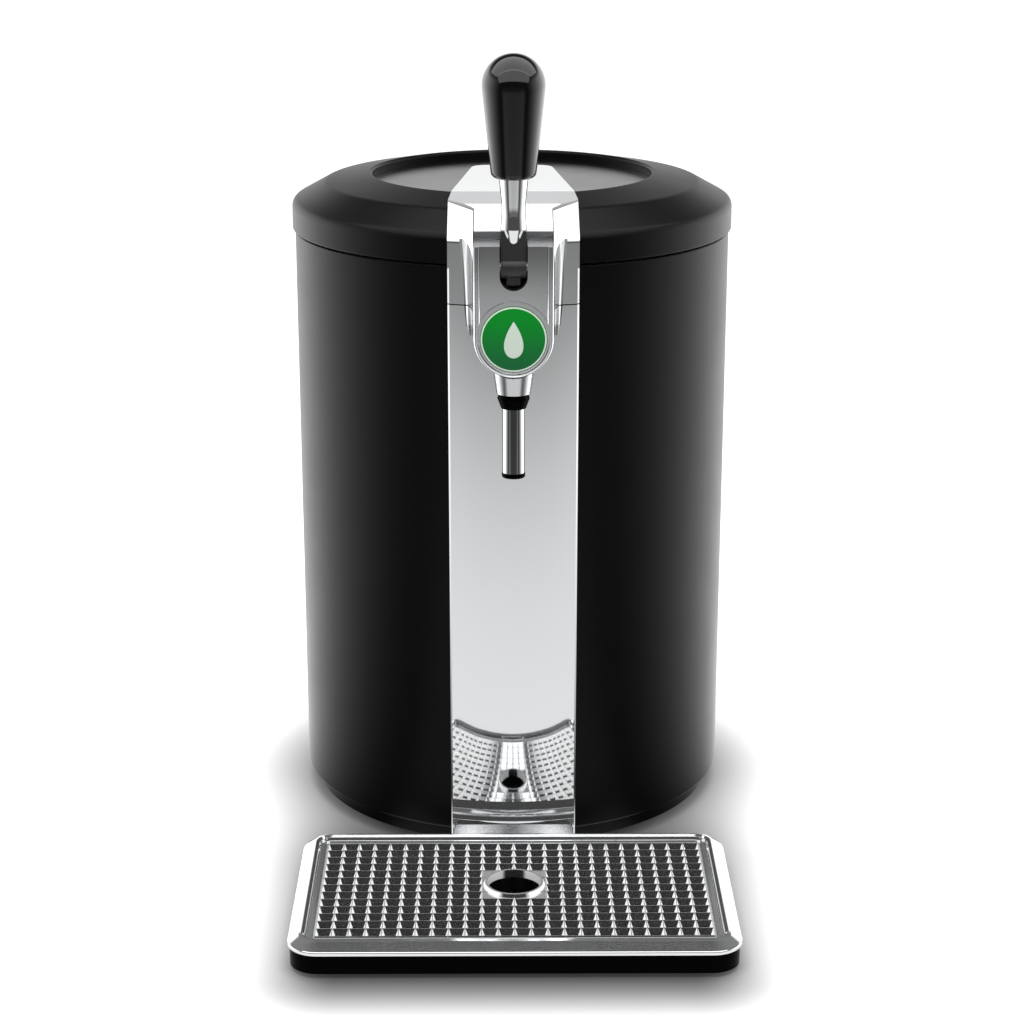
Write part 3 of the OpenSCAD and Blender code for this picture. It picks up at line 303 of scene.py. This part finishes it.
def polished_silver(shader, look):
    """The column."""
    return handled(shader, shade(look.silver), look.silver_gloss, metallic=1.0, smudge=0.012, tint=0.01)


def brushed_silver(shader, look):
    """The tap's housing, its cone and the lid's nose."""
    return handled(shader, shade(look.silver, 0.86), 0.24, metallic=1.0, tint=0.015)


def cover_painted_reflection_silver(shader, look):
    """Soft silver with a painted reflection that darkens it towards the lid, as a curved face under a dark
    ceiling looks.
    """
    low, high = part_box("tap_cover")
    even_share = 0.55
    _, _, z = shader.axes()
    # dark is a painted reflection: even up to even_share of the height, then darker towards the lid
    dark = ((z - low.z) / (high.z - low.z)).smooth(even_share, 1.0)
    colour = shader.blend(dark, shade(look.silver, 1.1), shade(look.silver, 0.5))
    return shader.surface(colour, shader.noise(SMUDGE_SIZE) * 0.06 + 0.21, metallic=1.0)


def bright_chrome(shader, look):
    """The lever's stem."""
    return handled(shader, shade(look.chrome), 0.035, metallic=1.0, smudge=0.012, tint=0.01)


def rim_chrome(shader, look):
    """The tray's rim."""
    return handled(shader, shade(look.chrome), 0.08, metallic=0.93, smudge=0.01, tint=0.01)


def sill_chrome(shader, look):
    """The darker step at the column's foot."""
    return handled(shader, shade(look.chrome, 0.62), 0.11, metallic=0.97, smudge=0.01, tint=0.01)


def tube_painted_band_chrome(shader, look):
    """Chrome with a painted reflection: the dark band that a tube between two bright panels shows towards the
    front.
    """
    painted_band_sides = (0.0013, 0.0037)
    painted_band_back = (-0.003, 0.001)
    x, y, _ = shader.axes()
    # bright is 0 only in the painted reflection's dark band, at the front of the tube
    bright = abs(x).smooth(*painted_band_sides) + (y - TAP_Y).smooth(*painted_band_back)
    colour = shader.blend(bright, shade(look.chrome, 0.07), shade(look.chrome))
    return shader.surface(colour, shader.noise(FINE_SMUDGE) * 0.02 + 0.04, metallic=1.0)


def grid_painted_highlight_chrome(shader, look):
    """Chrome with a soft sheen on its flat parts, and flanks painted a pale satin white as a painted
    highlight.

    The ridges that run front to back have this painted highlight on both flanks. The others have it beside
    the middle, near their crests, on the flank that the column mirrors, so that the column's reflection shows
    bright cells.
    """
    drain_lip = 0.0016
    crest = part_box("drip_grid")[1].z - drain_lip
    painted_highlight_depth = (0.0016, 0.0022)
    middle_part = (0.015, 0.045)
    steep = (0.3, 0.5)
    level = (0.93, 0.98)
    across, along, up = shader.facing()
    x, _, z = shader.axes()
    crests = (crest - z).smooth(*painted_highlight_depth, 1.0, 0.0)
    # far and flank mark where the highlight is painted, by the way each flank faces
    far = along.smooth(*steep) * abs(x).smooth(*middle_part) * crests
    flank = far.at_least(abs(across).smooth(*steep))
    flat = up.smooth(*level)
    bare = shader.blend(shader.noise(0.02), shade(look.chrome), shade(look.chrome, 0.97))
    # the painted highlight: pale satin white, rougher and not metallic, on the marked flanks
    return shader.surface(
        shader.blend(flank, bare, (0.98, 0.98, 0.98)),
        flank * 0.3 + flat * 0.15 + (shader.noise(FINE_SMUDGE) * 0.02 + 0.06),
        metallic=0.97 - flank * 0.97 - flat * 0.2
    )


def green_badge(shader, look):
    """Green under a thin clear coat, lighter at the top, with a pale ring near the edge and a pale drop."""
    low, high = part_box("badge")
    radius = (high.z - low.z) / 2
    ring_inside = (radius * 0.93, radius * 0.945)
    ring_outside = (radius * 0.975, radius * 0.99)
    drop_width = radius * 0.75
    drop_strength = 0.9
    x, _, z = shader.axes()
    up = z - (low.z + high.z) / 2
    out = reach(x, up)
    ring = out.smooth(*ring_inside) * out.smooth(*ring_outside, 1.0, 0.0)
    rise = up / radius * 0.9 + 0.5  # 0 at the drop's foot and 1 at its tip
    drop = (abs(x) < (rise.at_least(0.0) ** 0.5) * (1 - rise) * drop_width) * (rise < 1.0)
    height = (z - low.z) / (high.z - low.z)
    green = shader.blend(height.smooth(0.0, 0.95), shade(look.badge_foot), shade(look.badge_top))
    colour = shader.blend(ring.at_least(drop * drop_strength), green, shade(look.badge_print))
    coat = {"Specular IOR Level": 0.15, "Coat Weight": 0.08, "Coat Roughness": 0.03}
    return shader.surface(colour, shader.noise(FINE_SMUDGE) * 0.06 + 0.27, **coat)


def plain_steel(shader, look):
    """Screws and pins."""
    return handled(shader, (0.5, 0.5, 0.52), 0.3, metallic=1.0)


def mill_aluminium(shader, look):
    """The chamber's liner, the cold block and the heat sink."""
    return handled(shader, (0.68, 0.69, 0.70), 0.34, metallic=1.0, smudge=0.06)


def plain_brass(shader, look):
    """The inlet's pins."""
    return handled(shader, (0.72, 0.55, 0.22), 0.22, metallic=1.0)


def white_ceramic(shader, look):
    """The cooling module's plates."""
    return handled(shader, (0.78, 0.78, 0.75), 0.5)


def rigid_foam(shader, look):
    """The filling of the body and the lid."""
    return handled(shader, (0.72, 0.66, 0.45), 0.9, grain=0.6, grain_size=0.0012)


def lid_lining(shader, look):
    """The pale underside of the lid."""
    return handled(shader, (0.56, 0.56, 0.58), 0.4, grain=0.08)


def black_rubber(shader, look):
    """The feet and the lid's gasket."""
    return handled(shader, (0.016, 0.016, 0.016), 0.7, grain=0.2)


def circuit_board(shader, look):
    """The boards with their parts."""
    return handled(shader, (0.03, 0.15, 0.06), 0.35, grain=0.15, grain_size=0.002)


def dress(context, finish, nodes):
    """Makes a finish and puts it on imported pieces."""
    made = new_material(finish.__name__, finish, context.scene.dispenser_finish)
    for node in nodes.split():
        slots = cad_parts[node].data.materials
        slots.clear()
        slots.append(made)


# ------------------------------------------------------------------ studio

# What gloss sees: dark screens up to the first azimuth of the panels' edge, panels, and a duller back
SCREEN_LEVEL = 0.07
PANEL_EDGE = (math.radians(45), math.radians(125))
PANEL_LEVEL = 2.65
BACK_EDGE = (math.radians(130), math.radians(175))
BACK_LOSS = 1.6
# The ceiling starts at these heights of a ray's direction
CEILING_EDGE = (0.22, 0.5)
CEILING_LEVEL = 0.05
# The bright strip on the floor, and where it brightens from the camera to the object
STRIP_EDGE = (math.radians(30), math.radians(44))
STRIP_RISE = (-1.7, -0.2, 0.24, 0.86)
STRIP_START = (-2.1, -1.6, 0.3, 1.0)

FLOOR_HALF = 12.0
SENSOR_WIDTH = 36.0


def surround(x, y):
    """What gloss sees by azimuth: dark screens beside the camera, bright panels at the sides, less behind."""
    turn = azimuth(x, y)
    return turn.smooth(*PANEL_EDGE, SCREEN_LEVEL, PANEL_LEVEL) - turn.smooth(*BACK_EDGE, 0.0, BACK_LOSS)


def studio_world(world, studio):
    """White to the camera and even to matt surfaces; gloss sees the surround and a dark ceiling."""
    world.use_nodes = True
    shader = Shader(world.node_tree)
    x, y, z = shader.parts(shader.add("ShaderNodeTexCoord", out="Generated"))
    camera = shader.ray("Camera")
    glossy = shader.ray("Glossy")
    seen = surround(x, y) * z.smooth(*CEILING_EDGE, 1.0, CEILING_LEVEL)
    level = camera + (1 - camera) * (glossy * seen + (1 - glossy) * studio.sky_level)
    background = shader.add("ShaderNodeBackground", None, Color=(1.0, 1.0, 1.0), Strength=level)
    shader.add("ShaderNodeOutputWorld", None, Surface=background)


def painted_contact_shadow(x, y):
    """Painted soft shadow round the foot of the tray and the body, on top of the true one: low in the shadow,
    1 on the open floor.
    """
    tray_low, tray_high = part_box("tray_base")
    shell_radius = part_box("outer_shell")[1].x
    front_blur = (0.0, 0.075)
    side_blur = (-0.025, 0.055)
    back_blur = (0.0, 0.11)
    body_blur = (-0.03, 0.06)
    ahead = (tray_low.y - BODY_Y - y).smooth(*front_blur)
    beside = (abs(x) - tray_high.x).smooth(*side_blur)
    past = (y - (tray_high.y - BODY_Y)).smooth(*back_blur)
    tray = 1 - (1 - ahead) * (1 - beside) * (1 - past) * 0.9
    return tray * (reach(x, y) - shell_radius).smooth(*body_blur, 0.15, 1.0)


def studio_floor(shader, studio):
    """White floor with a painted contact shadow that darkens its colour and its glow; gloss sees the surround
    on it and a bright strip that runs towards the camera.
    """
    x, y, _ = shader.axes()
    y = y - BODY_Y
    glossy = shader.ray("Glossy")
    camera = shader.ray("Camera")
    strip = azimuth(x, y).smooth(*STRIP_EDGE, 1.0, 0.0) * (y.smooth(*STRIP_RISE) * y.smooth(*STRIP_START))
    # lit is the painted contact shadow: low near the tray and the body
    lit = painted_contact_shadow(x, y)
    glow = glossy * (strip + surround(x, y)) + camera * lit * studio.floor_lift
    colour = shader.blend((1 - glossy) * lit, (0.0, 0.0, 0.0), shade(studio.floor_colour))
    others = {"Specular IOR Level": 0.0, "Emission Color": glow, "Emission Strength": 1.0}
    return shader.surface(colour, shader.noise(0.2) * 0.1 + 0.8, **others)


def area_lamp(name, power, width, depth, ahead, height, aim_height, aim_ahead=0.0):
    """A soft lamp that the camera doesn't see; it is placed and aimed from the body's axis and the floor."""
    data = bpy.data.lights.new(name, "AREA")
    data.shape = "RECTANGLE"
    data.size = width
    data.size_y = depth
    data.energy = power
    lamp = bpy.data.objects.new(name, data)
    bpy.context.scene.collection.objects.link(lamp)
    place = Vector((0.0, BODY_Y - ahead, height))
    aim = Vector((0.0, BODY_Y - aim_ahead, aim_height))
    lamp.location = place
    lamp.rotation_euler = (aim - place).to_track_quat("-Z", "Y").to_euler()
    lamp.visible_camera = False
    return lamp


def gloss_lamp(name, power, **measures):
    """A soft lamp that gloss mirrors and that doesn't light matt surfaces."""
    lamp = area_lamp(name, power, **measures)
    lamp.visible_diffuse = False
    return lamp


def link_lamp(lamp, state, nodes):
    """Keeps a lamp off the named pieces, or keeps it to them, as cards round a small part do."""
    receivers = bpy.data.collections.new(lamp.name + "_receivers")
    for node in nodes.split():
        receivers.objects.link(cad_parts[node])
    lamp.light_linking.receiver_collection = receivers
    for member in receivers.collection_objects:
        member.light_linking.link_state = state


def add_lamps(studio):
    """One lamp that lights the whole object, and three that gloss mirrors."""
    overhead = area_lamp(
        "overhead", studio.lamp_level, width=1.6, depth=1.6, ahead=0.25, height=1.9, aim_height=0.1
    )
    overhead.visible_glossy = False
    gloss_lamp(
        "softbox", studio.softbox_level, width=1.8, depth=0.5, ahead=0.6, height=0.85,
        aim_ahead=BODY_Y - TAP_Y, aim_height=0.42
    )
    canopy = gloss_lamp(
        "canopy", studio.canopy_level, width=1.4, depth=0.5, ahead=0.1, height=0.8,
        aim_ahead=0.1, aim_height=0.4
    )
    link_lamp(canopy, "EXCLUDE", "tray_rim drip_grid")
    card = gloss_lamp(
        "card", studio.card_level, width=2.0, depth=1.6, ahead=-0.9, height=1.3, aim_height=0.36
    )
    link_lamp(card, "INCLUDE", "lid_nose tap_housing tap_cover lever_stem")


def add_floor(studio):
    """A square floor at the surface that the dispenser stands on."""
    mesh = bpy.data.meshes.new("floor")
    corners = [(-1, -1), (1, -1), (1, 1), (-1, 1)]
    mesh.from_pydata([(x * FLOOR_HALF, y * FLOOR_HALF, 0) for x, y in corners], [], [(0, 1, 2, 3)])
    mesh.materials.append(new_material("studio_floor", studio_floor, studio))
    floor = bpy.data.objects.new("floor", mesh)
    bpy.context.scene.collection.objects.link(floor)


def add_camera(studio):
    """The camera, turned to look at the body's axis."""
    data = bpy.data.cameras.new("camera")
    data.lens = studio.camera_lens
    data.sensor_width = SENSOR_WIDTH
    data.clip_start = 0.05
    data.clip_end = 60.0
    camera = bpy.data.objects.new("camera", data)
    bpy.context.scene.collection.objects.link(camera)
    camera.location = (-studio.camera_side, BODY_Y - studio.camera_away, studio.camera_high)
    turn = -math.atan2(studio.camera_side, studio.camera_away)
    camera.rotation_euler = (math.pi / 2 - studio.camera_pitch, 0.0, turn)
    bpy.context.scene.camera = camera


# ------------------------------------------------------------------ operators


class DISPENSER_OT_stage(bpy.types.Operator):
    """Makes the floor, the lamps, the sky and the camera"""

    bl_idname = "dispenser.stage"
    bl_label = "Stage"

    def execute(self, context):
        studio = context.scene.dispenser_studio
        add_floor(studio)
        add_lamps(studio)
        context.scene.world = bpy.data.worlds.new("studio")
        studio_world(context.scene.world, studio)
        context.scene.view_settings.view_transform = "Standard"
        add_camera(studio)
        return {"FINISHED"}


class DISPENSER_OT_body(bpy.types.Operator):
    """Dresses the round shell, its plinth and what closes it above and below"""

    bl_idname = "dispenser.body"
    bl_label = "Body"

    def execute(self, context):
        dress(context, satin_black, "outer_shell base_plinth rear_panel hinge_bracket")
        dress(context, dark_plastic, "deck_plate rim_ring")
        dress(context, plain_steel, "base_screws hinge_screws")
        dress(context, black_rubber, "plinth_feet")
        return {"FINISHED"}


class DISPENSER_OT_cooler(bpy.types.Operator):
    """Dresses the keg's chamber and what cools it"""

    bl_idname = "dispenser.cooler"
    bl_label = "Chamber and cooler"

    def execute(self, context):
        dress(context, mill_aluminium, "chamber_liner cold_block heat_sink")
        dress(context, rigid_foam, "insulation")
        dress(context, white_ceramic, "cooling_module")
        dress(context, dark_plastic, "fan_frame fan_rotor")
        return {"FINISHED"}


class DISPENSER_OT_mains(bpy.types.Operator):
    """Dresses the mains inlet, the rocker switch and the boards"""

    bl_idname = "dispenser.mains"
    bl_label = "Inlet, switch and boards"

    def execute(self, context):
        dress(context, dark_plastic, "inlet_housing switch_frame switch_rocker")
        dress(context, plain_brass, "inlet_pins")
        dress(context, circuit_board, "power_board control_board")
        return {"FINISHED"}


class DISPENSER_OT_lid(bpy.types.Operator):
    """Dresses the lid with its inlay, nose, lining and hinge"""

    bl_idname = "dispenser.lid"
    bl_label = "Lid"

    def execute(self, context):
        dress(context, satin_black, "lid_shell lid_hinge_arm")
        dress(context, inlay_black, "lid_inlay")
        dress(context, brushed_silver, "lid_nose")
        dress(context, rigid_foam, "lid_insulation")
        dress(context, lid_lining, "lid_liner")
        dress(context, black_rubber, "lid_gasket")
        dress(context, plain_steel, "hinge_pin")
        return {"FINISHED"}


class DISPENSER_OT_column(bpy.types.Operator):
    """Dresses the bright panel up the front and the sill at its foot"""

    bl_idname = "dispenser.column"
    bl_label = "Column"

    def execute(self, context):
        dress(context, polished_silver, "column_panel")
        dress(context, sill_chrome, "column_sill")
        return {"FINISHED"}


class DISPENSER_OT_tap(bpy.types.Operator):
    """Dresses the tap's housing, cover, badge and spout"""

    bl_idname = "dispenser.tap"
    bl_label = "Tap"

    def execute(self, context):
        dress(context, brushed_silver, "tap_housing spout_cone")
        dress(context, cover_painted_reflection_silver, "tap_cover")
        dress(context, green_badge, "badge")
        dress(context, deep_black, "spout_collar spout_tip")
        dress(context, tube_painted_band_chrome, "spout_tube")
        dress(context, dark_plastic, "lever_bracket tube_guide")
        return {"FINISHED"}


class DISPENSER_OT_lever(bpy.types.Operator):
    """Dresses the tap's lever and its pin"""

    bl_idname = "dispenser.lever"
    bl_label = "Lever"

    def execute(self, context):
        dress(context, gloss_black, "lever_knob")
        dress(context, bright_chrome, "lever_stem")
        dress(context, dark_plastic, "lever_hub")
        dress(context, plain_steel, "lever_pin")
        return {"FINISHED"}


class DISPENSER_OT_tray(bpy.types.Operator):
    """Dresses the drip tray and its grid"""

    bl_idname = "dispenser.tray"
    bl_label = "Drip tray"

    def execute(self, context):
        dress(context, deep_black, "tray_base")
        dress(context, rim_chrome, "tray_rim")
        dress(context, grid_painted_highlight_chrome, "drip_grid")
        dress(context, black_rubber, "tray_feet")
        return {"FINISHED"}


OPERATORS = (
    DISPENSER_OT_stage,
    DISPENSER_OT_body,
    DISPENSER_OT_cooler,
    DISPENSER_OT_mains,
    DISPENSER_OT_lid,
    DISPENSER_OT_column,
    DISPENSER_OT_tap,
    DISPENSER_OT_lever,
    DISPENSER_OT_tray,
)


GROUPS = {"dispenser_finish": DispenserFinish, "dispenser_studio": DispenserStudio}


class DISPENSER_PT_panel(bpy.types.Panel):
    """Lists the dispenser's steps and settings"""

    bl_idname = "DISPENSER_PT_panel"
    bl_label = "Mini keg beer dispenser"
    bl_space_type = "VIEW_3D"
    bl_region_type = "UI"
    bl_category = "Dispenser"

    def draw(self, context):
        for operator in OPERATORS:
            self.layout.operator(operator.bl_idname)
        for name in GROUPS:
            group = getattr(context.scene, name)
            column = self.layout.column()
            for setting in group.bl_rna.properties.keys():
                if setting not in {"rna_type", "name"}:
                    column.prop(group, setting)


def register():
    for name, group in GROUPS.items():
        bpy.utils.register_class(group)
        setattr(bpy.types.Scene, name, bpy.props.PointerProperty(type=group))
    for shown in (*OPERATORS, DISPENSER_PT_panel):
        bpy.utils.register_class(shown)


def unregister():
    for shown in reversed((*OPERATORS, DISPENSER_PT_panel)):
        bpy.utils.unregister_class(shown)
    for name, group in GROUPS.items():
        delattr(bpy.types.Scene, name)
        bpy.utils.unregister_class(group)


def main():
    register()
    for operator in OPERATORS:
        section, step = operator.bl_idname.split(".")
        getattr(getattr(bpy.ops, section), step)()


if __name__ == "__main__":
    main()
